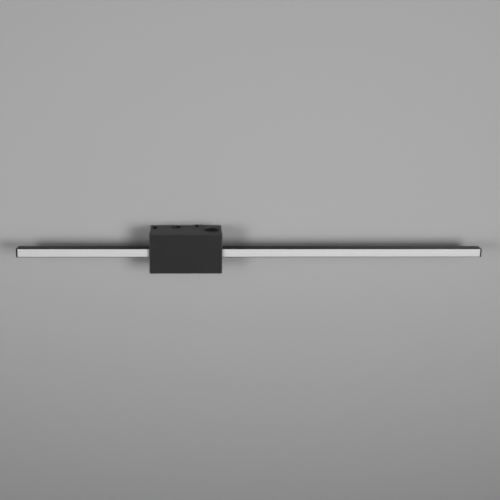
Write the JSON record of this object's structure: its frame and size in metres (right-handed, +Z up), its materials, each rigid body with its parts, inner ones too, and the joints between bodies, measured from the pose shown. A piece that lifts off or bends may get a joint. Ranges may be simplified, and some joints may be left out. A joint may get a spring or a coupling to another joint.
{
  "type": "vanity light bar",
  "caption": "Slim straight wall light bar with an opal front strip, passing through a black off-centre driver box with a small selector slider and a grommet-closed cable entry on top.",
  "frame": {"origin": "on the wall, at the centre of the two wall-box screw slots in the back of the wall plate", "axes": "+X along the bar towards its long arm (right, seen from the room), +Y into the wall, +Z up"},
  "size_m": [0.7752, 0.06, 0.0726],
  "materials": {
    "box_powder_coat": "satin black powder coat",
    "channel_powder_coat": "satin black powder coat on aluminium",
    "opal_plastic": "opal white, unlit",
    "end_cap_paint": "satin black paint on die-cast metal",
    "black_screw": "black oxide",
    "zinc_steel": "zinc plated",
    "grommet_rubber": "matte black",
    "knob_plastic": "fine matte black",
    "switch_plastic": "black moulded",
    "board_white": "white solder mask",
    "led_package": "white package with yellow phosphor",
    "tinned_metal": "tinned",
    "driver_plastic": "white moulded",
    "board_green": "green solder mask",
    "transformer_tape": "ferrite core in yellow tape",
    "capacitor_sleeve": "dark sleeve on an aluminium can",
    "connector_plastic": "white moulded",
    "terminal_plastic": "natural nylon",
    "terminal_brass": "bare",
    "earth_screw_green": "green",
    "lead_black": "black insulation",
    "lead_white": "white insulation",
    "lead_green": "green insulation",
    "lead_grey": "grey jacket"
  },
  "bodies": {
    "fixture": {"housing_box": "box_powder_coat", "bar_extrusion": "channel_powder_coat", "diffuser": "opal_plastic", "end_cap_left": "end_cap_paint", "end_cap_right": "end_cap_paint", "housing_screws": "black_screw", "end_cap_screws": "black_screw", "switch_screws": "black_screw", "carrier_rivets": "black_screw", "wall_plate": "zinc_steel", "bar_carrier": "zinc_steel", "bar_screws": "zinc_steel", "driver_nuts": "zinc_steel", "terminal_block_screws": "zinc_steel", "cable_grommet": "grommet_rubber", "bar_lead_grommet": "grommet_rubber", "selector_switch_body": "switch_plastic", "hole_plug": "switch_plastic", "led_board_left": "board_white", "led_board_right": "board_white", "led_chips": "led_package", "board_jumpers": "tinned_metal", "ring_terminal": "tinned_metal", "driver_base": "driver_plastic", "driver_cover": "driver_plastic", "driver_circuit_board": "board_green", "driver_transformer": "transformer_tape", "driver_capacitors": "capacitor_sleeve", "driver_input_connector": "connector_plastic", "driver_output_connector": "connector_plastic", "driver_selector_connector": "connector_plastic", "terminal_block": "terminal_plastic", "terminal_barrels": "terminal_brass", "terminal_screws": "terminal_brass", "ground_screw": "earth_screw_green", "live_lead": "lead_black", "neutral_lead": "lead_white", "dc_lead": "lead_white", "earth_lead": "lead_green", "selector_lead": "lead_grey"},
    "selector": {"selector_knob": "knob_plastic"}
  },
  "joints": [
    {"name": "selector_slide", "type": "slide", "parent": "fixture", "child": "selector", "axis": [-1, 0, 0], "range_m": [0, 0.0084]}
  ]
}
